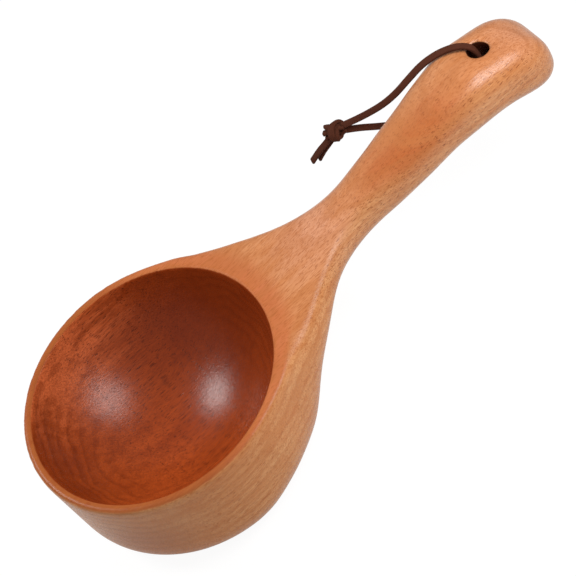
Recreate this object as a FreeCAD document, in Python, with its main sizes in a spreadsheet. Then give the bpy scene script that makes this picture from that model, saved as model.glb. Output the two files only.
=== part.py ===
# Wooden sauna ladle: one carved and turned piece of beech with a suede hanging lace.
# Millimetres. The origin is the centre of the bowl's foot, +Z is up and +X runs along
# the handle. The bowl stands on its flat foot and the handle reaches out over the table.
import FreeCAD, Part
import os
import math
import Sketcher
from FreeCAD import Placement, Rotation, Vector

# Driving dimensions
SIZES = {
    # Bowl
    "bowl_radius": 59.4,
    "bowl_height": 52,
    "rim_width": 4,
    "floor_thickness": 9,
    "foot_corner": 18,
    "foot_facing": 1.5,
    "rim_round": 1.2,
    "mouth_round": 0.6,
    "land_margin": 0.6,
    "land_runout": 7,
    # Flare between the bowl and the neck
    "flare_start": 2,
    "flare_length": 52.6,
    "heel_setback": 15.4,
    "heel_corner": 31,
    # Neck, the narrowest place of the handle
    "neck_rise": 10.8,
    "neck_width": 23.6,
    "neck_thickness": 21.3,
    "neck_shoulder": 9.5,
    "neck_corner": 10,
    # Palm, the thickest place of the handle
    "grip_length": 66,
    "palm_rise": 15.8,
    "palm_width": 34.6,
    "palm_thickness": 27.6,
    "palm_shoulder": 11.5,
    "palm_corner": 11,
    # Tip of the handle
    "end_length": 35,
    "tip_drop": 6.8,
    "tip_width": 35,
    "tip_thickness": 26.6,
    "crown_length": 14,
    "crown_inset": 10.5,
    # Hanging hole
    "hole_setback": 24.5,
    "hole_diameter": 9,
    "hole_round": 1.2,
    # Suede lace
    "lace_diameter": 3,
    "knot_length": 9,
    "knot_radius": 5,
    "knot_round": 1.6,
}

doc = FreeCAD.newDocument("SaunaLadle")
sizes = doc.addObject("Spreadsheet::Sheet", "sizes")
for row, (alias, value) in enumerate(SIZES.items(), start=1):
    sizes.set(f"A{row}", alias)
    sizes.set(f"B{row}", str(value))
    sizes.setAlias(f"B{row}", alias)
doc.recompute()


def value_of(expression):
    """Number that an expression over the sheet gives."""
    result = sizes.evalExpression(expression)
    return float(getattr(result, "Value", result))


def origin_plane(body, role):
    """Plane of the body's own origin, found by its role."""
    return next(item for item in body.Origin.OriginFeatures if item.Role == role)


def new_sketch(body, name, role, along="0"):
    """Sketch on one of the body's origin planes, moved along the plane's normal."""
    sketch = body.newObject("Sketcher::SketchObject", name)
    sketch.AttachmentSupport = (origin_plane(body, role), [""])
    sketch.MapMode = "FlatFace"
    sketch.AttachmentOffset = Placement(Vector(0, 0, value_of(along)), Rotation())
    if along != "0":
        sketch.setExpression("AttachmentOffset.Base.z", along)
    return sketch


def bind(sketch, kind, places, name, expression):
    """Dimension of a sketch, held to an expression over the sheet."""
    index = sketch.addConstraint(Sketcher.Constraint(kind, *places, value_of(expression)))
    sketch.renameConstraint(index, name)
    sketch.setExpression(f"Constraints.{name}", expression)


# Stations of the handle and its flare
# A station is a section across the handle: a flat top and bottom, upright sides, and
# two pairs of round corners, the shoulders above and the corners below.
HEEL_PLACE = "(sizes.bowl_radius - sizes.heel_setback)"
NECK_PLACE = "(sizes.bowl_radius + sizes.flare_length)"
NECK_TOP = "(sizes.bowl_height + sizes.neck_rise)"
NECK_UNDER = f"({NECK_TOP} - sizes.neck_thickness)"
PALM_PLACE = f"({NECK_PLACE} + sizes.grip_length)"
PALM_TOP = f"({NECK_TOP} + sizes.palm_rise)"
TIP_PLACE = f"({PALM_PLACE} + sizes.end_length)"


def smooth_step(fraction):
    """Share of a change that starts and ends level."""
    return fraction ** 2 * (3 - 2 * fraction)


def flare_station(fraction):
    """Station between the bowl (0) and the neck (1), on smooth outlines in plan and side view."""
    ease = smooth_step(fraction)
    along = f"(sizes.flare_start + ({NECK_PLACE} - sizes.flare_start) * {fraction})"
    heel = f"max(0; ({along} - {HEEL_PLACE}) / ({NECK_PLACE} - {HEEL_PLACE}))"
    toward_heel = f"min(1; {along} / {HEEL_PLACE})"
    return {
        "along": along,
        "half_width": f"sizes.bowl_radius + (sizes.neck_width / 2 - sizes.bowl_radius) * {ease}",
        "top": f"sizes.bowl_height + sizes.neck_rise * {fraction ** 2.5}",
        "under": (f"({NECK_UNDER} + sizes.foot_facing) * (1 - (1 - {heel}) ^ 2.2)"
                  " - sizes.foot_facing"),
        "shoulder": f"sizes.rim_round + (sizes.neck_shoulder - sizes.rim_round) * {ease}",
        "corner": (f"sizes.foot_corner + (sizes.heel_corner - sizes.foot_corner) * {toward_heel}"
                   f" + (sizes.neck_corner - sizes.heel_corner) * (1 - (1 - {heel}) ^ 2)"),
    }


def grip_station(fraction):
    """Station between the neck (0) and the palm (1)."""
    def between(size):
        return (f"(sizes.neck_{size} + (sizes.palm_{size} - sizes.neck_{size})"
                f" * {smooth_step(fraction)})")
    top = f"{NECK_TOP} + sizes.palm_rise * {fraction}"
    return {
        "along": f"{NECK_PLACE} + sizes.grip_length * {smooth_step(fraction)}",
        "half_width": f"{between('width')} / 2",
        "top": top,
        "under": f"{top} - {between('thickness')}",
        "shoulder": between("shoulder"),
        "corner": between("corner"),
    }


def handle_end_station(fraction, inset="0"):
    """Station between the palm (0) and the tip (1), with its edges drawn in by an inset."""
    ease = f"({fraction} ^ 2 * (3 - 2 * {fraction}))"
    top = f"({PALM_TOP} - sizes.tip_drop * {fraction} ^ 1.7)"
    width = f"(sizes.palm_width + (sizes.tip_width - sizes.palm_width) * {ease})"
    thickness = f"(sizes.palm_thickness + (sizes.tip_thickness - sizes.palm_thickness) * {ease})"
    return {
        "along": f"{PALM_PLACE} + sizes.end_length * {fraction}",
        "half_width": f"{width} / 2 - {inset}",
        "top": f"{top} - {inset}",
        "under": f"{top} - {thickness} + {inset}",
        "shoulder": f"max(0.5; sizes.palm_shoulder - {inset})",
        "corner": f"max(0.5; sizes.palm_corner - {inset})",
    }


def crown_station(degrees):
    """Station on the round of the tip, where all edges draw in on a quarter of an ellipse."""
    turn = math.radians(degrees)
    fraction = f"(1 - sizes.crown_length / sizes.end_length * {1 - math.sin(turn)})"
    return handle_end_station(fraction, f"sizes.crown_inset * {1 - math.cos(turn)}")


def station_numbers(expressions):
    """Station with its expressions worked out."""
    return {name: value_of(expression) for name, expression in expressions.items()}


def station_poles(station):
    """Corner points of a station's eight edges: two ends a line, and a third point an arc."""
    half, top, under = station["half_width"], station["top"], station["under"]
    shoulder, corner = station["shoulder"], station["corner"]

    def pole(y, z):
        return Vector(station["along"], y, z)
    right = [
        [pole(half - shoulder, top), pole(half, top), pole(half, top - shoulder)],
        [pole(half, top - shoulder), pole(half, under + corner)],
        [pole(half, under + corner), pole(half, under), pole(half - corner, under)],
    ]
    left = [[Vector(p.x, -p.y, p.z) for p in reversed(edge)] for edge in reversed(right)]
    underside = [right[-1][-1], left[0][0]]
    top_line = [left[-1][-1], right[0][0]]
    return right + [underside] + left + [top_line]


def smooth_slopes(places, values, first, last):
    """Slopes that join cubic spans through the values without a jump in curvature."""
    spans = [b - a for a, b in zip(places, places[1:])]
    chords = [(q - p) * (1 / span) for p, q, span in zip(values, values[1:], spans)]
    carry = [0.0]
    slopes = [first]
    for before, after, chord, next_chord in zip(spans, spans[1:], chords, chords[1:]):
        pivot = 2 * (before + after) - after * carry[-1]
        right_side = (chord * after + next_chord * before) * 3 - slopes[-1] * after
        carry.append(before / pivot)
        slopes.append(right_side * (1 / pivot))
    slopes.append(last)
    for index in range(len(slopes) - 2, 0, -1):
        slopes[index] = slopes[index] - slopes[index + 1] * carry[index]
    return slopes


def rail(knots, values, last):
    """Poles of a cubic curve along the handle; it leaves the bowl's middle square to it."""
    slopes = smooth_slopes(knots, values, Vector(1, 0, 0), last)
    poles = [values[0]]
    for index, knot in enumerate(knots):
        if index > 0:
            poles.append(values[index] - slopes[index] * ((knot - knots[index - 1]) / 3))
        if index < len(knots) - 1:
            poles.append(values[index] + slopes[index] * ((knots[index + 1] - knot) / 3))
    poles.append(values[-1])
    return poles


def carved_blank(stations, beyond):
    """Solid whose skin runs smoothly through all stations, toward one just beyond the last."""
    outlines = [station_poles(station) for station in stations]
    ridge = [outline[0][1] for outline in outlines]
    knots = [0.0]
    for before, after in zip(ridge, ridge[1:]):
        knots.append(knots[-1] + (after - before).Length)
    further = station_poles(beyond)
    reach = (further[0][1] - ridge[-1]).Length
    faces = []
    for edge in range(8):
        rails = []
        for pole in range(len(outlines[0][edge])):
            values = [outline[edge][pole] for outline in outlines]
            last = (further[edge][pole] - values[-1]) * (1 / reach)
            rails.append(rail(knots, values, last))
        across = len(rails) - 1
        weights = [1.0, math.sqrt(0.5), 1.0] if across == 2 else [1.0, 1.0]
        grid = [[run[index] for run in rails] for index in range(len(rails[0]))]
        surface = Part.BSplineSurface()
        surface.buildFromPolesMultsKnots(
            grid, [4] + [2] * (len(knots) - 2) + [4], [across + 1] * 2, knots, [0.0, 1.0],
            False, False, 3, across, [weights] * len(grid))
        for knot in range(2, len(knots)):
            surface.removeUKnot(knot, 1, 1e-6)
        faces.append(surface.toShape())
    for end in (knots[0], knots[-1]):
        rim = Part.Wire([face.Surface.uIso(end).toShape() for face in faces[:8]])
        faces.append(Part.Face(rim))
    shell = Part.makeShell(faces)
    shell.sewShape()
    return Part.Solid(shell)


# Carved blank: the bowl's front half, the flare and the handle in one skin
STATIONS = [flare_station(fraction) for fraction in (0, 0.13, 0.26, 0.38, 0.5, 0.62, 0.76, 1)]
STATIONS += [grip_station(fraction) for fraction in (0.35, 0.7, 1)]
STATIONS += [handle_end_station(0.32)]
STATIONS += [crown_station(degrees) for degrees in (8, 34, 62, 90)]
middle_of_bowl = dict(station_numbers(flare_station(0)), along=0.0)
blank = doc.addObject("Part::Feature", "carved_blank")
blank.Shape = carved_blank(
    [middle_of_bowl] + [station_numbers(station) for station in STATIONS],
    station_numbers(crown_station(92)))

# Ladle
ladle = doc.addObject("PartDesign::Body", "ladle_body")
ladle.BaseFeature = blank
doc.recompute()


def feature(body, kind, name, **settings):
    """Feature of a body with its properties set, recomputed."""
    item = body.newObject(kind, name)
    for key, setting in settings.items():
        setattr(item, key, setting)
    doc.recompute()
    return item


def edges_where(item, test):
    """Names of the edges of a feature that pass a test."""
    return [f"Edge{n}" for n, edge in enumerate(item.Shape.Edges, start=1) if test(edge)]


def rounding(body, name, base, test, radius):
    """Fillet along the edges of the base feature that pass a test."""
    item = body.newObject("PartDesign::Fillet", name)
    item.Base = (base, edges_where(base, test))
    item.Radius = value_of(radius)
    item.setExpression("Radius", radius)
    doc.recompute()
    return item


# Back half of the bowl, turned
radius = value_of("sizes.bowl_radius")
height = value_of("sizes.bowl_height")
facing = value_of("sizes.foot_facing")
corner = value_of("sizes.foot_corner")
rim = value_of("sizes.rim_round")
bowl_profile = new_sketch(ladle, "bowl_profile", "XZ_Plane")
axis_line = bowl_profile.addGeometry(
    Part.LineSegment(Vector(0, height, 0), Vector(0, -facing, 0)), False)
foot_line = bowl_profile.addGeometry(
    Part.LineSegment(Vector(0, -facing, 0), Vector(-radius + corner, -facing, 0)), False)
corner_centre = Vector(-radius + corner, corner - facing, 0)
corner_arc = bowl_profile.addGeometry(
    Part.ArcOfCircle(Part.Circle(corner_centre, Vector(0, 0, 1), corner), math.pi, 1.5 * math.pi),
    False)
wall_line = bowl_profile.addGeometry(
    Part.LineSegment(Vector(-radius, corner - facing, 0), Vector(-radius, height - rim, 0)), False)
rim_centre = Vector(-radius + rim, height - rim, 0)
rim_arc = bowl_profile.addGeometry(
    Part.ArcOfCircle(Part.Circle(rim_centre, Vector(0, 0, 1), rim), 0.5 * math.pi, math.pi),
    False)
rim_line = bowl_profile.addGeometry(
    Part.LineSegment(Vector(-radius + rim, height, 0), Vector(0, height, 0)), False)
for kind, first, end, second, start in (
        ("Coincident", axis_line, 2, foot_line, 1),
        ("Tangent", foot_line, 2, corner_arc, 2),
        ("Tangent", corner_arc, 1, wall_line, 1),
        ("Tangent", wall_line, 2, rim_arc, 2),
        ("Tangent", rim_arc, 1, rim_line, 1),
        ("Coincident", rim_line, 2, axis_line, 1)):
    bowl_profile.addConstraint(Sketcher.Constraint(kind, first, end, second, start))
bowl_profile.addConstraint(Sketcher.Constraint("PointOnObject", axis_line, 1, -2))
bowl_profile.addConstraint(Sketcher.Constraint("PointOnObject", axis_line, 2, -2))
bowl_profile.addConstraint(Sketcher.Constraint("Horizontal", foot_line))
bowl_profile.addConstraint(Sketcher.Constraint("Vertical", wall_line))
bowl_profile.addConstraint(Sketcher.Constraint("Horizontal", rim_line))
bind(bowl_profile, "Radius", (corner_arc,), "corner", "sizes.foot_corner")
bind(bowl_profile, "Radius", (rim_arc,), "rim", "sizes.rim_round")
bind(bowl_profile, "DistanceX", (wall_line, 1, -1, 1), "outside", "sizes.bowl_radius")
bind(bowl_profile, "DistanceY", (-1, 1, rim_line, 2), "height", "sizes.bowl_height")
bind(bowl_profile, "DistanceY", (foot_line, 1, -1, 1), "facing", "sizes.foot_facing")
doc.recompute()
bowl_back = feature(
    ladle, "PartDesign::Revolution", "bowl_back", Profile=bowl_profile,
    ReferenceAxis=(bowl_profile, ["V_Axis"]), Angle=180, Midplane=True)

# Foot, sanded flat
foot_sketch = new_sketch(ladle, "foot_facing", "XY_Plane")
foot_circle = foot_sketch.addGeometry(Part.Circle(Vector(), Vector(0, 0, 1), 3 * radius), False)
foot_sketch.addConstraint(Sketcher.Constraint("Coincident", foot_circle, 3, -1, 1))
bind(foot_sketch, "Radius", (foot_circle,), "reach", "sizes.bowl_radius * 3")
foot = feature(ladle, "PartDesign::Pocket", "foot", Profile=foot_sketch,
               Type="ThroughAll")

# Cavity, a turned round hollow, with the rim's land and its run-out into the flare
MOUTH_RADIUS = "sizes.bowl_radius - sizes.rim_width"
LAND_RADIUS = "sizes.bowl_radius + sizes.land_margin"
mouth = value_of(MOUTH_RADIUS)
floor = value_of("sizes.floor_thickness")
land = value_of(LAND_RADIUS)
runout = value_of("sizes.land_runout")
cavity_radius = (mouth ** 2 + (height - floor) ** 2) / (2 * (height - floor))
above = height + 3 * runout
cavity_profile = new_sketch(ladle, "cavity_profile", "XZ_Plane")
hollow_circle = Part.Circle(Vector(0, floor + cavity_radius, 0), Vector(0, 0, 1), cavity_radius)
mouth_angle = math.atan2(height - floor - cavity_radius, mouth)
hollow_arc = cavity_profile.addGeometry(
    Part.ArcOfCircle(hollow_circle, -0.5 * math.pi, mouth_angle), False)
land_line = cavity_profile.addGeometry(
    Part.LineSegment(Vector(mouth, height, 0), Vector(land, height, 0)), False)
runout_circle = Part.Circle(Vector(land, height + runout, 0), Vector(0, 0, 1), runout)
runout_arc = cavity_profile.addGeometry(
    Part.ArcOfCircle(runout_circle, -0.5 * math.pi, 0), False)
outer_line = cavity_profile.addGeometry(
    Part.LineSegment(Vector(land + runout, height + runout, 0),
                     Vector(land + runout, above, 0)), False)
upper_line = cavity_profile.addGeometry(
    Part.LineSegment(Vector(land + runout, above, 0), Vector(0, above, 0)), False)
middle_line = cavity_profile.addGeometry(
    Part.LineSegment(Vector(0, above, 0), Vector(0, floor, 0)), False)
for kind, first, end, second, start in (
        ("Coincident", hollow_arc, 2, land_line, 1),
        ("Tangent", land_line, 2, runout_arc, 1),
        ("Tangent", runout_arc, 2, outer_line, 1),
        ("Coincident", outer_line, 2, upper_line, 1),
        ("Coincident", upper_line, 2, middle_line, 1),
        ("Coincident", middle_line, 2, hollow_arc, 1)):
    cavity_profile.addConstraint(Sketcher.Constraint(kind, first, end, second, start))
cavity_profile.addConstraint(Sketcher.Constraint("PointOnObject", hollow_arc, 3, -2))
cavity_profile.addConstraint(Sketcher.Constraint("PointOnObject", middle_line, 1, -2))
cavity_profile.addConstraint(Sketcher.Constraint("PointOnObject", middle_line, 2, -2))
cavity_profile.addConstraint(Sketcher.Constraint("Horizontal", land_line))
cavity_profile.addConstraint(Sketcher.Constraint("Horizontal", upper_line))
bind(cavity_profile, "DistanceX", (-1, 1, hollow_arc, 2), "mouth", MOUTH_RADIUS)
bind(cavity_profile, "DistanceX", (-1, 1, land_line, 2), "land", LAND_RADIUS)
bind(cavity_profile, "DistanceY", (-1, 1, land_line, 2), "height", "sizes.bowl_height")
bind(cavity_profile, "DistanceY", (-1, 1, hollow_arc, 1), "floor", "sizes.floor_thickness")
bind(cavity_profile, "Radius", (runout_arc,), "runout", "sizes.land_runout")
bind(cavity_profile, "DistanceY", (-1, 1, middle_line, 1), "above",
     "sizes.bowl_height + sizes.land_runout * 3")
doc.recompute()
cavity = feature(
    ladle, "PartDesign::Groove", "cavity", Profile=cavity_profile,
    ReferenceAxis=(cavity_profile, ["V_Axis"]), Angle=360)

# Hanging hole, drilled square to the foot
HOLE_PLACE = f"{TIP_PLACE} - sizes.hole_setback"
hole_place = value_of(HOLE_PLACE)
hole_radius = value_of("sizes.hole_diameter / 2")
hole_sketch = new_sketch(ladle, "hole_outline", "XY_Plane")
hole_circle = hole_sketch.addGeometry(
    Part.Circle(Vector(hole_place, 0, 0), Vector(0, 0, 1), hole_radius), False)
hole_sketch.addConstraint(Sketcher.Constraint("PointOnObject", hole_circle, 3, -1))
bind(hole_sketch, "DistanceX", (-1, 1, hole_circle, 3), "place", HOLE_PLACE)
bind(hole_sketch, "Radius", (hole_circle,), "radius", "sizes.hole_diameter / 2")
hole = feature(ladle, "PartDesign::Pocket", "hanging_hole", Profile=hole_sketch,
               Type="ThroughAll", Midplane=True)


def on_hole_mouth(edge):
    """True of the closed edges where the hole breaks out of the handle."""
    middle = edge.valueAt(sum(edge.ParameterRange) / 2)
    reach = math.hypot(middle.x - hole_place, middle.y)
    return abs(reach - hole_radius) < 0.01 and edge.BoundBox.DiagonalLength > 1.5 * hole_radius \
        and edge.BoundBox.ZLength < 2 * hole_radius


def on_cavity_mouth(edge):
    """True of the circle where the hollow meets the rim's land."""
    return all(abs(math.hypot(v.X, v.Y) - mouth) < 0.01 and abs(v.Z - height) < 0.01
               for v in edge.Vertexes) and edge.BoundBox.ZLength < 0.01


mouth_rounded = rounding(ladle, "mouth_rounded", hole, on_cavity_mouth, "sizes.mouth_round")
hole_rounded = rounding(ladle, "hole_rounded", mouth_rounded, on_hole_mouth, "sizes.hole_round")

# Suede hanging lace
# One loop runs from the knot over the handle, down through the hanging hole and back
# under the handle to the knot. Its two tails leave the other side of the knot.
KNOT_FACE = Vector(132.131, 39.503, 50.709)
KNOT_AXIS = Vector(-0.807, 0.555, -0.202)
LOOP_ROUTE = [
    Vector(131.857, 39.691, 52.325),
    Vector(136.376, 36.584, 53.456),
    Vector(142.4, 30.4, 57.6),
    Vector(148.6, 24.3, 62.3),
    Vector(154.8, 19.6, 67.4),
    Vector(161.5, 16.6, 72.4),
    Vector(169.0, 13.6, 77.2),
    Vector(176.5, 9.6, 80.2),
    Vector(182.6, 5.2, 81.3),
    Vector(186.6, 1.8, 79.8),
    Vector(187.9, 0.5, 75.4),
    Vector(188.0, 0.1, 68.0),
    Vector(187.8, 0.4, 59.0),
    Vector(187.6, 0.5, 51.4),
    Vector(186.8, 1.5, 46.6),
    Vector(182.3, 5.4, 43.6),
    Vector(175.5, 10.6, 42.6),
    Vector(167.5, 16.4, 42.4),
    Vector(159.5, 21.8, 43.4),
    Vector(151.8, 26.6, 45.4),
    Vector(144.4, 31.4, 47.9),
    Vector(136.925, 36.206, 50.224),
    Vector(132.406, 39.314, 49.093),
]
TAIL_ROUTES = {
    "lace_tail_front": [
        Vector(123.934, 43.138, 48.891),
        Vector(121.836, 44.581, 48.366),
        Vector(118.197, 45.724, 44.831),
        Vector(114.958, 45.832, 40.512),
    ],
    "lace_tail_back": [
        Vector(125.804, 45.857, 48.891),
        Vector(123.706, 47.3, 48.366),
        Vector(119.761, 48.857, 45.356),
        Vector(115.83, 49.531, 41.425),
    ],
}


def cord_path(name, points):
    """Straight runs joined by tangent arcs, each as large as its two runs allow."""
    edges = []
    radii = []
    start = points[0]
    for before, point, after in zip(points, points[1:], points[2:]):
        arriving = point - before
        leaving = after - point
        turn = arriving.getAngle(leaving)
        cut = 0.45 * min(arriving.Length, leaving.Length)
        radii.append(cut / math.tan(turn / 2))
        arriving.normalize()
        leaving.normalize()
        first = point - arriving * cut
        last = point + leaving * cut
        inward = leaving - arriving
        inward.normalize()
        middle = point + inward * (radii[-1] * (1 / math.cos(turn / 2) - 1))
        edges.append(Part.LineSegment(start, first).toShape())
        edges.append(Part.Arc(first, middle, last).toShape())
        start = last
    edges.append(Part.LineSegment(start, points[-1]).toShape())
    print(name, "radii", [round(value, 1) for value in radii])
    return Part.Wire(edges)


def cord_tube(name, points):
    """Round tube along a cord's path."""
    path = cord_path(name, points)
    diameter = value_of("sizes.lace_diameter")
    ring = Part.Circle(points[0], points[1] - points[0], diameter / 2)
    sweep = Part.BRepOffsetAPI.MakePipeShell(path)
    sweep.add(Part.Wire(ring.toShape()))
    sweep.build()
    sweep.makeSolid()
    tube = doc.addObject("Part::Feature", name)
    tube.Shape = sweep.shape()
    tube.Placement = Placement()
    expected = math.pi * diameter ** 2 / 4 * path.Length
    print(name, "length", round(path.Length, 1), "volume ratio", tube.Shape.Volume / expected)
    return tube


loop = cord_tube("lace_loop", LOOP_ROUTE)
tails = [cord_tube(name, route) for name, route in TAIL_ROUTES.items()]

knot_core = doc.addObject("Part::Cylinder", "knot_core")
knot_core.setExpression("Radius", "sizes.knot_radius")
knot_core.setExpression("Height", "sizes.knot_length")
knot_core.Placement = Placement(KNOT_FACE, Rotation(Vector(0, 0, 1), KNOT_AXIS))
doc.recompute()
knot = doc.addObject("Part::Fillet", "lace_knot")
knot.Base = knot_core
round_off = value_of("sizes.knot_round")
knot.Edges = [(number, round_off, round_off) for number, edge in
              enumerate(knot_core.Shape.Edges, start=1) if len(edge.Vertexes) == 1]
doc.recompute()

SUB_PARTS = {
    "ladle_body": ladle,
    "lace_loop": loop,
    "lace_knot": knot,
    "lace_tail_front": tails[0],
    "lace_tail_back": tails[1],
}
for name, item in SUB_PARTS.items():
    item.Label = name

for item in doc.Objects:
    if "Invalid" in item.State or "Error" in item.State:
        raise RuntimeError(f"{item.Label} failed: {item.State}")
for name, item in SUB_PARTS.items():
    if item.Shape.isNull() or not item.Shape.isValid() or len(item.Shape.Solids) != 1:
        raise RuntimeError(f"{name} is not one valid solid")

os.makedirs("parts", exist_ok=True)
for name, item in SUB_PARTS.items():
    item.Shape.exportStep(f"parts/{name}.step")
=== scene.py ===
# The wooden sauna ladle, dressed around its CAD model: one piece of oiled beech, and a strip
# of suede that hangs it up. Everything is in metres, in the frame of the CAD model.
import bmesh
import bpy
import math
from mathutils import Matrix, Vector


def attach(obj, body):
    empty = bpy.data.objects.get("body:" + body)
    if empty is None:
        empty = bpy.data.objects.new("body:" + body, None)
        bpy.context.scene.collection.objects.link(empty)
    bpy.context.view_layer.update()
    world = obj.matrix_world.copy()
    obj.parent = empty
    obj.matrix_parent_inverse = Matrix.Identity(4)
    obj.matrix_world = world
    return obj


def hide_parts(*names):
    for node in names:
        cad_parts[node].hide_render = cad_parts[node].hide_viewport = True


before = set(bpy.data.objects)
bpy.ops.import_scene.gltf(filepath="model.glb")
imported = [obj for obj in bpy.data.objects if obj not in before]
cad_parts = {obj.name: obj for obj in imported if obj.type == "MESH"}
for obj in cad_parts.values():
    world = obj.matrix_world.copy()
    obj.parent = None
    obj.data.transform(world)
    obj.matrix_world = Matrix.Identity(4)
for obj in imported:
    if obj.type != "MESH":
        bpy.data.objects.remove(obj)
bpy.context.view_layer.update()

# The ladle. One block of steamed beech, the bowl turned on a lathe and the handle carved, then
# sanded fine and oiled. The grain runs a little askew to the handle, and the growth rings lie
# flat, one above another.
MM = 0.001
GRAIN_TURN = (0.0, math.radians(2.9), math.radians(-1.1))
GRAIN_WAY = (0.998, 0.019, 0.051)
HOLLOW_RADIUS = 57.19
HOLLOW_CENTRE = 66.19
RIM_RADIUS = 59.4
RIM_HEIGHT = 52.0
MOUTH_RADIUS = 55.4
HOLE_PLACE = 188.5
HOLE_RADIUS = 4.5


def linear(hex_colour):
    """Linear colour of an sRGB hex value."""
    channels = [int(hex_colour[i:i + 2], 16) / 255 for i in (1, 3, 5)]
    return [c / 12.92 if c <= 0.04045 else ((c + 0.055) / 1.055) ** 2.4 for c in channels] + [1.0]


def add_node(material, kind, inputs=None, **settings):
    """Node with its settings; inputs gives its sockets, by name or number, values or links."""
    node = material.node_tree.nodes.new(kind)
    for name, setting in settings.items():
        setattr(node, name, setting)
    sockets = [socket for socket in node.inputs if socket.enabled]
    for key, value in (inputs or {}).items():
        socket = sockets[key if isinstance(key, int) else [s.name for s in sockets].index(key)]
        if isinstance(value, bpy.types.Node):
            value = next(output for output in value.outputs if output.enabled)
        if isinstance(value, bpy.types.NodeSocket):
            material.node_tree.links.new(value, socket)
        else:
            socket.default_value = value
    return node


# Oiled beech: the eye gets a warm orange-pink ground that goes deep red-brown in the turned
# hollow, partly from the oil it has drunk and partly as painted shade, thin dark flecks a few
# millimetres long, soft streaks along the grain, faint flat growth rings, and a satin gloss.
beech = bpy.data.materials.new("oiled_beech")
beech.use_nodes = True
beech.node_tree.nodes.clear()
place = add_node(beech, "ShaderNodeTexCoord")
# Millimetres from here on
in_mm = add_node(beech, "ShaderNodeMapping", {
    "Vector": place.outputs["Object"], "Scale": (1 / MM, 1 / MM, 1 / MM)})
grain = add_node(beech, "ShaderNodeMapping", {"Vector": in_mm, "Rotation": GRAIN_TURN})
axes = add_node(beech, "ShaderNodeSeparateXYZ", {"Vector": in_mm})
height = axes.outputs["Z"]


def drawn_out(length, width, detail, offset=(0, 0, 0)):
    """Noise drawn out along the grain, with waves of this length and width in millimetres."""
    stretched = add_node(beech, "ShaderNodeMapping", {
        "Vector": grain, "Location": offset, "Scale": (1 / length, 1 / width, 1 / width)})
    return add_node(beech, "ShaderNodeTexNoise", {
        "Vector": stretched, "Scale": 1.0, "Detail": detail, "Roughness": 0.55})


clouds = drawn_out(80, 22, 3.0, (3.1, 0.4, 0.7))
streaks = drawn_out(60, 3.4, 4.0)
fibres = drawn_out(12, 0.6, 3.0)
grit = drawn_out(3.4, 0.36, 1.5)


# Of a fleck, all in cells of the pattern: its length, its smallest and largest reach, its edge
FLECK_LENGTH = 0.75
FLECK_REACH = (0.08, 0.46)
FLECK_EDGE = (-0.04, 0.14)


def flecks(length, width, share, offset):
    """Ray flecks, dark slim spindles along the grain; the share of places that hold one."""
    cells = add_node(beech, "ShaderNodeMapping", {
        "Vector": grain, "Location": offset,
        "Scale": (FLECK_LENGTH / length, FLECK_LENGTH / width, FLECK_LENGTH / width)})
    spots = add_node(beech, "ShaderNodeTexVoronoi", {"Vector": cells, "Scale": 1.0})
    chance = add_node(beech, "ShaderNodeSeparateColor", {"Color": spots.outputs["Color"]})
    reach = add_node(beech, "ShaderNodeMapRange", {
        "Value": chance, "From Min": 1.0 - share, "From Max": 1.0,
        "To Min": FLECK_REACH[0], "To Max": FLECK_REACH[1]})
    held = add_node(beech, "ShaderNodeMath", {0: chance, 1: 1.0 - share}, operation="GREATER_THAN")
    inside = add_node(beech, "ShaderNodeMath", {0: reach, 1: spots.outputs["Distance"]},
                      operation="SUBTRACT")
    depth = add_node(beech, "ShaderNodeMapRange", {
        "Value": inside, "From Min": FLECK_EDGE[0], "From Max": FLECK_EDGE[1]},
        interpolation_type="SMOOTHSTEP")
    return add_node(beech, "ShaderNodeMath", {0: depth, 1: held}, operation="MULTIPLY")


short_flecks = flecks(2.5, 0.25, 0.85, (0.3, 0.1, 0.6))
long_flecks = flecks(3.6, 0.3, 0.75, (0.7, 0.5, 0.2))

# Which way the wood was cut at a place: across the grain, or along it and face up; facing up also
# sets a tone below that is partly painted shade
facing = place.outputs["Normal"]
along = add_node(beech, "ShaderNodeVectorMath", {0: facing, 1: GRAIN_WAY},
                 operation="DOT_PRODUCT")
across = add_node(beech, "ShaderNodeMath", {0: along}, operation="ABSOLUTE")
end_grain = add_node(beech, "ShaderNodeMapRange", {
    "Value": across, "From Min": 0.35, "From Max": 0.9}, interpolation_type="SMOOTHSTEP")
long_grain = add_node(beech, "ShaderNodeMapRange", {
    "Value": across, "From Min": 0.3, "From Max": 0.75, "To Min": 1.0, "To Max": 0.15},
    interpolation_type="SMOOTHSTEP")
face_up = add_node(beech, "ShaderNodeSeparateXYZ", {"Vector": facing}).outputs["Z"]
side_cut = add_node(beech, "ShaderNodeMapRange", {
    "Value": face_up, "From Min": 0.55, "From Max": 0.95, "To Min": 1.0, "To Max": 0.6},
    interpolation_type="SMOOTHSTEP")

# Growth rings, flat layers that wave slowly; each ends in a thin late line. In millimetres
RING_SPACING = 4.6
RING_WAVE = 14.0
waved = add_node(beech, "ShaderNodeMath", {0: clouds, 1: RING_WAVE, 2: height},
                 operation="MULTIPLY_ADD")
layer = add_node(beech, "ShaderNodeMath", {0: waved, 1: RING_SPACING}, operation="DIVIDE")
ring_share = add_node(beech, "ShaderNodeMath", {0: layer}, operation="FRACT")
ring_rise = add_node(beech, "ShaderNodeMapRange", {
    "Value": ring_share, "From Min": 0.3, "From Max": 0.92}, interpolation_type="SMOOTHSTEP")
ring_stop = add_node(beech, "ShaderNodeMapRange", {
    "Value": ring_share, "From Min": 0.92, "From Max": 1.0, "To Min": 1.0, "To Max": 0.0})
late_line = add_node(beech, "ShaderNodeMath", {0: ring_rise, 1: ring_stop}, operation="MULTIPLY")
layer_only = add_node(beech, "ShaderNodeCombineXYZ", {"Z": layer})
layer_tone = add_node(beech, "ShaderNodeTexNoise", {
    "Vector": layer_only, "Scale": 0.8, "Detail": 1.0})

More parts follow.
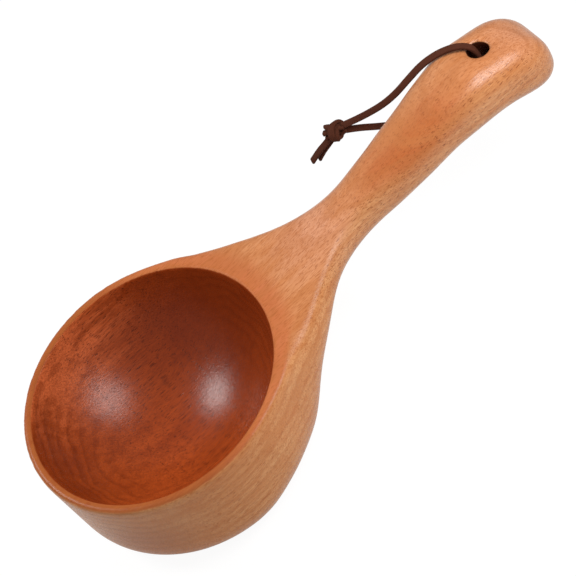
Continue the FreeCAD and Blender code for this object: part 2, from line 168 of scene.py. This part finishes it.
# The turned hollow, a ball's surface about this centre
hollow_way = add_node(beech, "ShaderNodeVectorMath", {0: in_mm, 1: (0, 0, HOLLOW_CENTRE)},
                      operation="SUBTRACT")
hollow_reach = add_node(beech, "ShaderNodeVectorMath", {0: hollow_way}, operation="LENGTH")
in_hollow = add_node(beech, "ShaderNodeMapRange", {
    "Value": hollow_reach, "From Min": HOLLOW_RADIUS + 0.5, "From Max": HOLLOW_RADIUS + 0.15},
    interpolation_type="SMOOTHSTEP")
# The rim's turned land, with its run-out into the flare
level_with_axis = add_node(beech, "ShaderNodeMapping", {"Vector": in_mm, "Scale": (1, 1, 0)})
axis_reach = add_node(beech, "ShaderNodeVectorMath", {0: level_with_axis}, operation="LENGTH")
near_axis = add_node(beech, "ShaderNodeMapRange", {
    "Value": axis_reach, "From Min": RIM_RADIUS + 12.0, "From Max": RIM_RADIUS - 2.0},
    interpolation_type="SMOOTHSTEP")
near_top = add_node(beech, "ShaderNodeMapRange", {
    "Value": height, "From Min": RIM_HEIGHT - 1.2, "From Max": RIM_HEIGHT - 0.3},
    interpolation_type="SMOOTHSTEP")
on_land = add_node(beech, "ShaderNodeMath", {0: near_axis, 1: near_top}, operation="MULTIPLY")
# The land is darker on the side away from the handle
far_side = add_node(beech, "ShaderNodeMapRange", {
    "Value": axes.outputs["X"], "From Min": 42.0, "From Max": -20.0},
    interpolation_type="SMOOTHSTEP")
far_land = add_node(beech, "ShaderNodeMath", {0: on_land, 1: far_side}, operation="MULTIPLY")
# The hanging hole, its inside darkened as painted shade
from_hole = add_node(beech, "ShaderNodeVectorMath", {0: level_with_axis, 1: (HOLE_PLACE, 0, 0)},
                     operation="DISTANCE")
hole_shade = add_node(beech, "ShaderNodeMapRange", {
    "Value": from_hole, "From Min": HOLE_RADIUS + 0.5, "From Max": HOLE_RADIUS + 0.1},
    interpolation_type="SMOOTHSTEP")


def soft_patch(centre, reach):
    """Soft round patch broken up by the streaks, from its centre and reach in millimetres."""
    shifted = add_node(beech, "ShaderNodeMapping", {
        "Vector": in_mm, "Location": centre, "Scale": reach}, vector_type="TEXTURE")
    away = add_node(beech, "ShaderNodeVectorMath", {0: shifted}, operation="LENGTH")
    ragged = add_node(beech, "ShaderNodeMath", {0: streaks, 1: 0.7, 2: away},
                      operation="MULTIPLY_ADD")
    return add_node(beech, "ShaderNodeMapRange", {
        "Value": ragged, "From Min": 1.35, "From Max": 0.35}, interpolation_type="SMOOTHSTEP")


# Flecks show most on the handle's sides and least on end grain, which has the rings instead
past_bowl = add_node(beech, "ShaderNodeMapRange", {
    "Value": axis_reach, "From Min": RIM_RADIUS + 4.0, "From Max": RIM_RADIUS + 24.0,
    "To Min": 0.15})
on_side = add_node(beech, "ShaderNodeMath", {0: side_cut, 1: past_bowl}, operation="MULTIPLY")
side_flecks = add_node(beech, "ShaderNodeMath", {0: short_flecks, 1: on_side},
                       operation="MULTIPLY")
flecks_outside = add_node(beech, "ShaderNodeMath", {0: side_flecks, 1: long_grain},
                          operation="MULTIPLY")
flecks_inside = add_node(beech, "ShaderNodeMath", {0: long_flecks, 1: long_grain},
                         operation="MULTIPLY")
end_rings = add_node(beech, "ShaderNodeMath", {0: late_line, 1: end_grain}, operation="MULTIPLY")
end_bands = add_node(beech, "ShaderNodeMath", {0: layer_tone, 1: end_grain}, operation="MULTIPLY")

# Tones over the ground, one above another: what shows the tone, where that starts and where it
# is full, how strong the tone is, and its colour
OUTSIDE_TONES = [
    # the upward faces' tone: partly the flat-sawn cut, partly painted shade that darkens the tops
    (face_up, 0.4, 0.95, 0.6, "#C37D54"),
    (streaks, 0.4, 0.7, 0.5, "#BE7340"),
    (soft_patch((141, -8, 70), (54, 20, 20)), 0.0, 1.0, 0.85, "#AC5624"),
    (soft_patch((205, -3, 74), (24, 24, 22)), 0.0, 1.0, 0.7, "#D4926C"),
    (soft_patch((88, 2, 58), (34, 34, 18)), 0.0, 1.0, 0.8, "#D29472"),
    # painted shade: darker low on the bowl's outside, on the side away from the handle
    (soft_patch((-46, -42, 22), (52, 34, 34)), 0.0, 1.0, 0.58, "#9C5832"),
    # painted shade: darker orange on the rim's land around the mouth
    (on_land, 0.0, 1.0, 0.75, "#BC663E"),
    (far_land, 0.0, 1.0, 0.85, "#8E4420"),
    (across, 0.6, 1.0, 0.3, "#B4703F"),
    (fibres, 0.4, 0.7, 0.5, "#AA5F2C"),
    (grit, 0.52, 0.68, 0.55, "#924C20"),
    (end_rings, 0.0, 1.0, 0.4, "#8A5230"),
    (late_line, 0.0, 1.0, 0.32, "#AC6636"),
    (layer_tone, 0.45, 0.65, 0.4, "#BB7644"),
    (flecks_outside, 0.0, 1.0, 0.8, "#743208"),
    # painted shade: the inside of the hanging hole painted dark
    (hole_shade, 0.0, 1.0, 1.0, "#34150A"),
]
HOLLOW_TONES = [
    # painted shade: darker on the hollow's wall towards the handle and along its far side
    (soft_patch((34, 24, 32), (68, 60, 48)), 0.0, 1.0, 0.85, "#6A2408"),
    # painted light: a lighter patch on the hollow's far wall, away from the handle
    (soft_patch((-30, 46, 46), (62, 48, 34)), 0.0, 1.0, 0.9, "#D26A3C"),
    (streaks, 0.4, 0.7, 0.45, "#7E2F0C"),
    (end_bands, 0.3, 0.6, 0.5, "#7C300E"),
    (end_rings, 0.0, 1.0, 0.35, "#5E2008"),
    (fibres, 0.38, 0.68, 0.4, "#652207"),
    (grit, 0.5, 0.66, 0.35, "#5A1C05"),
    (flecks_inside, 0.0, 1.0, 0.8, "#431304"),
]
# Pale and deep ground, outside and in the hollow; the hollow's deep red-brown is partly oil and
# partly painted shade
GROUNDS = [("#D9A06E", "#CB8B59", OUTSIDE_TONES), ("#AE4C1D", "#963C13", HOLLOW_TONES)]
finished = []
for pale, deep, tones in GROUNDS:
    cloud_share = add_node(beech, "ShaderNodeMapRange", {
        "Value": clouds, "From Min": 0.35, "From Max": 0.65})
    colour = add_node(beech, "ShaderNodeMix", {
        "Factor": cloud_share, "A": linear(pale), "B": linear(deep)}, data_type="RGBA")
    for shown_by, start, full, strength, tone in tones:
        share = add_node(beech, "ShaderNodeMapRange", {
            "Value": shown_by, "From Min": start, "From Max": full, "To Max": strength},
            interpolation_type="SMOOTHSTEP")
        colour = add_node(beech, "ShaderNodeMix", {
            "Factor": share, "A": colour, "B": linear(tone)}, data_type="RGBA")
    finished.append(colour)
wood_colour = add_node(beech, "ShaderNodeMix", {
    "Factor": in_hollow, "A": finished[0], "B": finished[1]}, data_type="RGBA")
# The fibres stand a little proud and the flecks lie a little deep
RELIEF = 0.12 * MM
pores = add_node(beech, "ShaderNodeMath", {0: side_flecks, 1: flecks_inside}, operation="MAXIMUM")
relief = add_node(beech, "ShaderNodeMath", {0: pores, 1: -0.15, 2: fibres},
                  operation="MULTIPLY_ADD")
grain_bump = add_node(beech, "ShaderNodeBump", {
    "Strength": 0.6, "Distance": RELIEF, "Height": relief})
satin = add_node(beech, "ShaderNodeMapRange", {
    "Value": fibres, "From Min": 0.3, "From Max": 0.7, "To Min": 0.22, "To Max": 0.32})
# The mouth's edge is worn matt, and hands have polished the handle but not the bowl's outside
mouth_way = add_node(beech, "ShaderNodeMapRange", {
    "Value": axis_reach, "From Min": MOUTH_RADIUS + 2.8, "From Max": MOUTH_RADIUS + 1.4})
mouth_level = add_node(beech, "ShaderNodeMapRange", {
    "Value": height, "From Min": RIM_HEIGHT - 3.0, "From Max": RIM_HEIGHT - 1.4})
at_mouth = add_node(beech, "ShaderNodeMath", {0: mouth_way, 1: mouth_level}, operation="MULTIPLY")
duller = add_node(beech, "ShaderNodeMapRange", {"Value": at_mouth, "To Min": 1.0, "To Max": 0.15})
polished = add_node(beech, "ShaderNodeMapRange", {
    "Value": axes.outputs["X"], "From Min": 84.0, "From Max": 96.0, "To Min": 0.4})
brighter = add_node(beech, "ShaderNodeMath", {0: polished, 1: in_hollow}, operation="MAXIMUM")
worn = add_node(beech, "ShaderNodeMath", {0: duller, 1: brighter}, operation="MULTIPLY")
oil_gloss = add_node(beech, "ShaderNodeMapRange", {
    "Value": in_hollow, "To Min": 0.5, "To Max": 0.36})
gloss = add_node(beech, "ShaderNodeMath", {0: oil_gloss, 1: worn}, operation="MULTIPLY")
oiled = add_node(beech, "ShaderNodeBsdfPrincipled", {
    "Base Color": wood_colour, "Roughness": satin, "IOR": 1.42, "Specular IOR Level": gloss,
    "Normal": grain_bump})
add_node(beech, "ShaderNodeOutputMaterial", {"Surface": oiled})

# Carving. The CAD model's surface is evened out into a net of small squares, and then carved by a
# few millimetres to the photograph's line, at the grip, the tip, the flare's top and its flanks.
# A pair of millimetres is where something starts and where it is full.
EVEN_STEP = 0.95 * MM
# Soft swells at places along the handle: the middle, the reach and the rise of each
TOP_SWELLS = [(161, 11.5, 2.45), (130, 10.5, -1.75)]
UNDER_SWELLS = [(158.5, 14.5, 3.7), (126, 9, -0.75)]
FLANK_SWELLS = [(70, 17, 2.5), (26, 11, 1.1)]
TIP_DROP = 1.9
TIP_BEND = (184, 208)
# The flare's top leaves the rim's land without a step and rises ever more steeply
FLARE_SLOPE = 0.1255
FLARE_STEEPENING = 0.001675
# It falls to its two sides, left and right as seen from the bowl, as it narrows to the neck
FLARE_NARROWING = (45, 125)
BOWL_HALF_WIDTH = 45
NECK_HALF_WIDTH = 12
LEFT_FALL, LEFT_FALL_GROWS = 1.6, (64, 90)
RIGHT_FALL, RIGHT_FALL_GROWS = 5.0, (30, 56)
FALL_FADES = (122, 96)
# Heights between which the flanks swell, and how far from the middle plane
FLANK_FOOT = (1, 9)
FLANK_TOP = (52, 38)
FLANK_SIDE = (4, 20)
# Distance from the hollow's wall that keeps it as it was turned
HOLLOW_CLEAR = (1, 4)


def swelled(value, swells):
    """Sum of soft swells, each given by its middle, reach and rise."""
    return sum(rise * math.exp(-((value - middle) / reach) ** 2)
               for middle, reach, rise in swells)


def eased(value, start, full):
    """From zero at the start to one where it is full, and level beyond."""
    share = min(1.0, max(0.0, (value - start) / (full - start)))
    return share * share * (3 - 2 * share)


def evened(mesh):
    """The same shape as a net of squares one step wide."""
    carrier = bpy.data.objects.new("carrier", mesh)
    bpy.context.scene.collection.objects.link(carrier)
    even = carrier.modifiers.new("even", "REMESH")
    even.mode = "VOXEL"
    even.voxel_size = EVEN_STEP
    depsgraph = bpy.context.evaluated_depsgraph_get()
    net = bpy.data.meshes.new_from_object(carrier.evaluated_get(depsgraph))
    bpy.data.objects.remove(carrier)
    bpy.data.meshes.remove(mesh)
    return net


cad_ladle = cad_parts["ladle_body"]
merged = bmesh.new()
merged.from_mesh(cad_ladle.data)
merged.transform(cad_ladle.matrix_world)
bmesh.ops.remove_doubles(merged, verts=merged.verts, dist=0.001 * MM)
block = bpy.data.meshes.new("ladle_block")
merged.to_mesh(block)
merged.free()
block = evened(block)
# The way that each point faces is read before any of them moves
ups = [vertex.normal.z for vertex in block.vertices]
for vertex, up in zip(block.vertices, ups):
    x, y, z = (c / MM for c in vertex.co)
    top_lift = swelled(x, TOP_SWELLS)
    under_lift = swelled(x, UNDER_SWELLS) - TIP_DROP * eased(x, *TIP_BEND)
    z += under_lift + (top_lift - under_lift) * (1 + up) / 2
    if x > 0:
        run_out = max(0.0, math.hypot(x, y) - RIM_RADIUS)
        narrowing = eased(x, *FLARE_NARROWING)
        half_width = BOWL_HALF_WIDTH + (NECK_HALF_WIDTH - BOWL_HALF_WIDTH) * narrowing
        fall, grows = (LEFT_FALL, LEFT_FALL_GROWS) if y > 0 else (RIGHT_FALL, RIGHT_FALL_GROWS)
        fall *= eased(x, *grows) * eased(x, *FALL_FADES) * eased(run_out, 0, 8)
        fall *= min(1.2, abs(y) / half_width) ** 2
        flare_rise = FLARE_SLOPE * run_out + FLARE_STEEPENING * run_out ** 2
        z = min(z, RIM_HEIGHT + flare_rise - fall)
    swell = swelled(x, FLANK_SWELLS)
    swell *= eased(z, *FLANK_TOP) * eased(z, *FLANK_FOOT) * eased(abs(y), *FLANK_SIDE)
    swell *= eased(math.hypot(x, y, z - HOLLOW_CENTRE) - HOLLOW_RADIUS, *HOLLOW_CLEAR)
    vertex.co.y = (y + math.copysign(swell, y)) * MM
    vertex.co.z = z * MM
carved = evened(block)

# Sanding. All of it is sanded, the crisp edges of the rim, the mouth and the hole the least, and
# the flare is then blended into the bowl with many more strokes.
EDGE_CLEAR = (0.8, 3)
HOLE_CLEAR = (1, 4)
LEAST_SANDED = 0.3
RIM_SANDED = 0.6
SMOOTHINGS = {"sanded": 20, "flared": 120}
ladle = bpy.data.objects.new("ladle_carved", carved)
bpy.context.scene.collection.objects.link(ladle)
groups = {name: ladle.vertex_groups.new(name=name) for name in SMOOTHINGS}
for vertex in carved.vertices:
    x, y, z = (c / MM for c in vertex.co)
    from_axis = math.hypot(x, y)
    off_rim = eased(math.hypot(from_axis - RIM_RADIUS, z - RIM_HEIGHT), *EDGE_CLEAR)
    off_mouth = eased(math.hypot(from_axis - MOUTH_RADIUS, z - RIM_HEIGHT), *EDGE_CLEAR)
    off_hole = eased(abs(math.hypot(x - HOLE_PLACE, y) - HOLE_RADIUS), *HOLE_CLEAR)
    off_hollow = eased(math.hypot(from_axis, z - HOLLOW_CENTRE) - HOLLOW_RADIUS, *HOLLOW_CLEAR)
    on_flare = eased(x, 34, 44) * eased(from_axis, RIM_RADIUS + 0.4, RIM_RADIUS + 2.5)
    weight = max(RIM_SANDED, off_rim, on_flare) * off_mouth * off_hole
    groups["sanded"].add([vertex.index], max(LEAST_SANDED, weight), "REPLACE")
    flare_top = eased(x, 38, 54) * eased(from_axis, RIM_RADIUS + 0.4, RIM_RADIUS + 4.6)
    flank = eased(x, 0, 25) * eased(z, RIM_HEIGHT - 5, RIM_HEIGHT - 12) * eased(z, 3, 9)
    weight = max(flare_top, flank * off_hollow) * eased(x, 126, 104)
    groups["flared"].add([vertex.index], weight, "REPLACE")
for name, strokes in SMOOTHINGS.items():
    smoothing = ladle.modifiers.new(name, "SMOOTH")
    smoothing.vertex_group = name
    smoothing.factor = 0.5
    smoothing.iterations = strokes
carved.shade_smooth()
carved.materials.clear()
carved.materials.append(beech)
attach(ladle, "root")
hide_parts("ladle_body")

# The hanging lace. One strip of dark brown suede, three millimetres wide and nearly two thick,
# cut from a hide. It runs from its knot over the handle, down the hole and back underneath.
LACE_WIDTH = 3.0 * MM
LACE_THICKNESS = 1.7 * MM
# The route of its middle line, in millimetres
LOOP_ROUTE = [
    (131.857, 39.691, 52.325), (136.376, 36.584, 53.456), (142.4, 30.4, 57.6), (148.6, 24.3, 62.3),
    (154.8, 19.6, 67.4), (161.5, 16.6, 72.4), (169.0, 13.6, 77.2), (176.5, 9.6, 80.2),
    (182.6, 5.2, 81.3), (186.6, 1.8, 79.8), (187.9, 0.5, 75.4), (188.0, 0.1, 68.0),
    (187.8, 0.4, 59.0), (187.6, 0.5, 51.4), (186.8, 1.5, 46.6), (182.3, 5.4, 43.6),
    (175.5, 10.6, 42.6), (167.5, 16.4, 42.4), (159.0, 21.8, 42.4), (151.0, 26.6, 43.8),
    (143.6, 31.4, 46.0), (136.6, 36.3, 48.6), (132.406, 39.314, 49.093),
]
# Way that the strip's broad face looks at shares of its length
LOOP_FACES = [
    (0.0, (-0.2, -0.7, 0.6)), (0.2, (-0.2, -0.6, 0.7)), (0.33, (-0.2, -0.3, 1.0)),
    (0.4, (0.2, -0.1, 1.0)), (0.47, (0.8, -0.5, 0.3)), (0.58, (0.8, -0.5, -0.2)),
    (0.66, (0.0, 0.0, -1.0)), (0.76, (-0.2, -0.8, -0.6)), (0.84, (-0.1, -0.7, 0.7)),
    (1.0, (-0.1, -0.7, 0.7)),
]


def smooth_line(name, points):
    """Points along a NURBS curve with these control points in millimetres, in metres."""
    curve = bpy.data.curves.new(name, "CURVE")
    curve.dimensions = "3D"
    curve.resolution_u = 8
    spline = curve.splines.new("NURBS")
    spline.points.add(len(points) - 1)
    for point, place_mm in zip(spline.points, points):
        point.co = (*(c * MM for c in place_mm), 1.0)
    spline.order_u = 3
    spline.use_endpoint_u = True
    carrier = bpy.data.objects.new(name, curve)
    line = bpy.data.meshes.new_from_object(carrier)
    path = [vertex.co.copy() for vertex in line.vertices]
    bpy.data.objects.remove(carrier)
    bpy.data.curves.remove(curve)
    bpy.data.meshes.remove(line)
    return path


def face_way(faces, share):
    """Direction that the broad face looks in at a share of the length."""
    for (start, first), (end, second) in zip(faces, faces[1:]):
        if share <= end:
            mix = (share - start) / (end - start)
            return Vector(first).lerp(Vector(second), mix)
    return Vector(faces[-1][1])


def strip_frames(path, faces):
    """Matrix at each point of a path: X across the strip, Y out of its face, Z along it."""
    lengths = [0.0]
    for before, after in zip(path, path[1:]):
        lengths.append(lengths[-1] + (after - before).length)
    frames = []
    for index, point in enumerate(path):
        along = (path[min(index + 1, len(path) - 1)] - path[max(index - 1, 0)]).normalized()
        out = face_way(faces, lengths[index] / lengths[-1])
        out = (out - along * out.dot(along)).normalized()
        across = out.cross(along)
        turn = Matrix((across, out, along)).transposed().to_4x4()
        frames.append(Matrix.Translation(point) @ turn)
    return frames


# Power of sine and cosine that squares the strip's round section
SECTION_POWER = 0.55


def squared(share):
    """A sine or cosine pushed out towards one."""
    return math.copysign(abs(share) ** SECTION_POWER, share)


def suede_strip(name, path, faces, width=LACE_WIDTH, thickness=LACE_THICKNESS):
    """Strip swept along a path: a flat ring with rounded edges, extruded from point to point."""
    frames = strip_frames(path, faces)
    bm = bmesh.new()
    ring = bmesh.ops.create_circle(bm, cap_ends=True, segments=16, radius=0.5)["verts"]
    for vertex in ring:
        angle = math.atan2(vertex.co.y, vertex.co.x)
        vertex.co = (squared(math.cos(angle)) * width / 2,
                     squared(math.sin(angle)) * thickness / 2, 0)
    bmesh.ops.transform(bm, matrix=frames[0], verts=ring)
    edges = list({edge for vertex in ring for edge in vertex.link_edges})
    for before, after in zip(frames, frames[1:]):
        grown = bmesh.ops.extrude_edge_only(bm, edges=edges)["geom"]
        edges = [item for item in grown if isinstance(item, bmesh.types.BMEdge)]
        ends = [item for item in grown if isinstance(item, bmesh.types.BMVert)]
        edges = [edge for edge in edges if all(vertex in ends for vertex in edge.verts)]
        bmesh.ops.transform(bm, matrix=after @ before.inverted(), verts=ends)
    bmesh.ops.contextual_create(bm, geom=edges)
    bmesh.ops.recalc_face_normals(bm, faces=bm.faces)
    mesh = bpy.data.meshes.new(name)
    bm.to_mesh(mesh)
    bm.free()
    mesh.shade_smooth()
    piece = bpy.data.objects.new(name, mesh)
    bpy.context.scene.collection.objects.link(piece)
    return piece


# Dark brown suede: matt and velvety, so the eye gets a soft nap of lighter tufts, with patches
# where it was rubbed. Tufts and patches are counted to the millimetre.
NAP_TUFTS = 1.8
RUBBED_PATCHES = 0.26
NAP_DEPTH = 0.15 * MM
suede = bpy.data.materials.new("dark_brown_suede")
suede.use_nodes = True
suede.node_tree.nodes.clear()
hide_place = add_node(suede, "ShaderNodeTexCoord").outputs["Object"]
nap = add_node(suede, "ShaderNodeTexNoise", {
    "Vector": hide_place, "Scale": NAP_TUFTS / MM, "Detail": 4.0, "Roughness": 0.7})
rubbed = add_node(suede, "ShaderNodeTexNoise", {
    "Vector": hide_place, "Scale": RUBBED_PATCHES / MM, "Detail": 2.0})
hide = add_node(suede, "ShaderNodeMix", {
    "Factor": rubbed, "A": linear("#26100A"), "B": linear("#3E1E13")}, data_type="RGBA")
napped = add_node(suede, "ShaderNodeMix", {
    "Factor": nap, "A": hide, "B": linear("#5E3424")}, data_type="RGBA")
nap_bump = add_node(suede, "ShaderNodeBump", {
    "Strength": 0.6, "Distance": NAP_DEPTH, "Height": nap})
suede_skin = add_node(suede, "ShaderNodeBsdfPrincipled", {
    "Base Color": napped, "Roughness": 0.9, "IOR": 1.2, "Normal": nap_bump})
add_node(suede, "ShaderNodeOutputMaterial", {"Surface": suede_skin})

loop_path = smooth_line("loop_line", LOOP_ROUTE)
loop = suede_strip("lace_loop_strip", loop_path, LOOP_FACES)
loop.data.materials.append(suede)

# The lace's ends, two short tails of the same suede. They come out of the knot side by side and
# hang down from it, edge on, a little pressed by the knot.
TAIL_THICKNESS = 1.4 * MM
TAILS = {
    "lace_tail_front": [(125.2, 43.2, 47.6), (122.6, 44.1, 45.6),
                        (118.3, 47.3, 41.2), (114.4, 50.4, 35.8)],
    "lace_tail_back": [(126.7, 43.4, 46.4), (124.2, 44.2, 44.4),
                       (120.7, 47.0, 40.2), (117.5, 49.6, 35.2)],
}
TAIL_FACES = [(0.0, (0.83, 0.0, -0.55)), (1.0, (0.83, 0.0, -0.55))]
for node_name, route in TAILS.items():
    tail_path = smooth_line(node_name + "_line", route)
    tail = suede_strip(node_name + "_strip", tail_path, TAIL_FACES, thickness=TAIL_THICKNESS)
    tail.data.materials.append(suede)
    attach(tail, "root")
    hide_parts(node_name)

# The knot, an overhand knot tied in both strands of the suede at once and pulled tight, so that
# each strand goes once round the axis of the knot, half a turn behind the other.
KNOT_WIDTH = 3.2 * MM
KNOT_THICKNESS = 1.9 * MM
KNOT_STRANDS = [("lace_knot_upper", 0, 1.2), ("lace_knot_lower", 180, -1.2)]
KNOT_MIDDLE = Vector((128.5, 42.0, 49.8)) * MM
KNOT_AXIS = Vector((-0.807, 0.555, -0.202))
KNOT_UP = Vector((-0.166, 0.114, 0.980))
KNOT_SIDE = KNOT_AXIS.cross(KNOT_UP)
# Each point's place along the axis and out from it, in millimetres, and round it, in degrees
KNOT_TURN = [
    (-5.2, 1.1, 0), (-2.6, 1.4, 0), (0.4, 3.2, 10), (2.0, 3.7, 55), (2.1, 3.7, 110), (1.2, 3.7, 165),
    (0.0, 3.7, 215), (-1.3, 3.6, 260), (-2.2, 2.8, 305), (-1.6, 1.6, 345), (0.6, 0.9, 370),
    (3.2, 1.1, 380), (5.2, 1.2, 380),
]


def knot_strand(name, start_angle, shift):
    """One strand of the knot, its outer turn shifted along the axis from the other's."""
    route = []
    outward = []
    for along, reach, angle in KNOT_TURN:
        turn = math.radians(angle + start_angle)
        ray = KNOT_UP * math.cos(turn) + KNOT_SIDE * math.sin(turn)
        outer_share = min(1.0, max(0.0, (reach - 1.2) / 1.8))
        along += shift * outer_share
        route.append((KNOT_MIDDLE + (KNOT_AXIS * along + ray * reach) * MM) / MM)
        outward.append(ray)
    path = smooth_line(name + "_line", [tuple(point) for point in route])
    faces = [(index / (len(outward) - 1), tuple(ray)) for index, ray in enumerate(outward)]
    return suede_strip(name, path, faces, width=KNOT_WIDTH, thickness=KNOT_THICKNESS)


knot_strands = [knot_strand(*strand) for strand in KNOT_STRANDS]
for strand in knot_strands:
    strand.data.materials.append(suede)
    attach(strand, "root")
    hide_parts("lace_knot")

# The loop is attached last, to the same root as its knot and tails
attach(loop, "root")
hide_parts("lace_loop")

# The table under the ladle, plain and white, in a pale room. Seen straight or in a gloss it is
# white paper; to all other light it is a pale matt board that also takes the ladle's shadow.
TABLE_REACH = 6.0
PAPER_GLOW = 1.06
# Share of the paper in the table's look, and how much of that a gloss on the ladle shows
SEEN_WHITE = 0.88
GLOSS_SHARE = 0.35
table_white = bpy.data.materials.new("white_table")
table_white.use_nodes = True
table_white.node_tree.nodes.clear()
board = add_node(table_white, "ShaderNodeBsdfDiffuse", {"Color": (0.8, 0.8, 0.8, 1)})
paper = add_node(table_white, "ShaderNodeEmission", {"Color": (1, 1, 1, 1), "Strength": PAPER_GLOW})
rays = add_node(table_white, "ShaderNodeLightPath")
mirrored = add_node(table_white, "ShaderNodeMath", {
    0: rays.outputs["Is Glossy Ray"], 1: GLOSS_SHARE}, operation="MULTIPLY")
seen = add_node(table_white, "ShaderNodeMath", {0: rays.outputs["Is Camera Ray"], 1: mirrored},
                operation="MAXIMUM")
seen_any = add_node(table_white, "ShaderNodeMath", {
    0: seen, 1: rays.outputs["Is Transmission Ray"]}, operation="MAXIMUM")
seen_share = add_node(table_white, "ShaderNodeMath", {0: seen_any, 1: SEEN_WHITE},
                      operation="MULTIPLY")
table_look = add_node(table_white, "ShaderNodeMixShader", {0: seen_share, 1: board, 2: paper})
add_node(table_white, "ShaderNodeOutputMaterial", {"Surface": table_look})
table_bm = bmesh.new()
bmesh.ops.create_grid(table_bm, x_segments=1, y_segments=1, size=TABLE_REACH)
table_mesh = bpy.data.meshes.new("table")
table_bm.to_mesh(table_mesh)
table_bm.free()
table_mesh.materials.append(table_white)
table = bpy.data.objects.new("table", table_mesh)
bpy.context.scene.collection.objects.link(table)

# The room, a photographer's white tent: the same white light from all sides, weak enough to
# leave the soft boxes' highlights clear.
ROOM_LIGHT = 0.36
world = bpy.data.worlds.new("pale_room")
bpy.context.scene.world = world
world.use_nodes = True
world.node_tree.nodes["Background"].inputs["Color"].default_value = (1, 1, 1, 1)
world.node_tree.nodes["Background"].inputs["Strength"].default_value = ROOM_LIGHT

# Two square soft boxes close over the bowl, one each side of the handle. Of each: its name, the
# spot that it is aimed at (m), the way to it from there, its distance (m), size (m) and power (W).
SOFT_BOXES = [
    ("left_soft_box", (0.0185, 0.0093, 0.0129), (-0.502, 0.477, 0.722), 0.45, 0.14, 1.15),
    ("right_soft_box", (-0.0206, 0.0333, 0.0246), (0.604, -0.424, 0.675), 0.45, 0.20, 1.2),
]
for name, spot, way, distance, size, power in SOFT_BOXES:
    lamp = bpy.data.lights.new(name, "AREA")
    lamp.energy = power
    lamp.size = size
    box = bpy.data.objects.new(name, lamp)
    way = Vector(way).normalized()
    box.location = Vector(spot) + way * distance
    box.rotation_mode = "QUATERNION"
    box.rotation_quaternion = way.to_track_quat("Z", "Y")
    box.visible_camera = False
    bpy.context.scene.collection.objects.link(box)

# The camera, a long lens above the ladle and to its right side, rolled so that the handle points
# up and to the right. It is set from the middle of the bowl's mouth, with the ladle in full view.
LOOK_AT = Vector((0, 0, RIM_HEIGHT * MM))
AZIMUTH, ELEVATION, ROLL = (math.radians(angle) for angle in (-4.0, 49.2, 37.3))
CAMERA_DISTANCE = 0.8
CAMERA_RIGHT, CAMERA_UP = 0.05697, 0.03842
LENS_LENGTH, SENSOR_WIDTH = 122, 36
back = Vector((math.sin(AZIMUTH) * math.cos(ELEVATION), -math.cos(AZIMUTH) * math.cos(ELEVATION),
               math.sin(ELEVATION)))
level = Vector((math.cos(AZIMUTH), math.sin(AZIMUTH), 0))
upward = back.cross(level)
right = level * math.cos(ROLL) - upward * math.sin(ROLL)
top = level * math.sin(ROLL) + upward * math.cos(ROLL)
lens = bpy.data.cameras.new("long_lens")
lens.lens = LENS_LENGTH
lens.sensor_width = SENSOR_WIDTH
camera = bpy.data.objects.new("camera", lens)
eye = LOOK_AT + right * CAMERA_RIGHT + top * CAMERA_UP + back * CAMERA_DISTANCE
camera.matrix_world = Matrix.Translation(eye) @ Matrix((right, top, back)).transposed().to_4x4()
bpy.context.scene.collection.objects.link(camera)
bpy.context.scene.camera = camera
bpy.context.scene.view_settings.view_transform = "Standard"
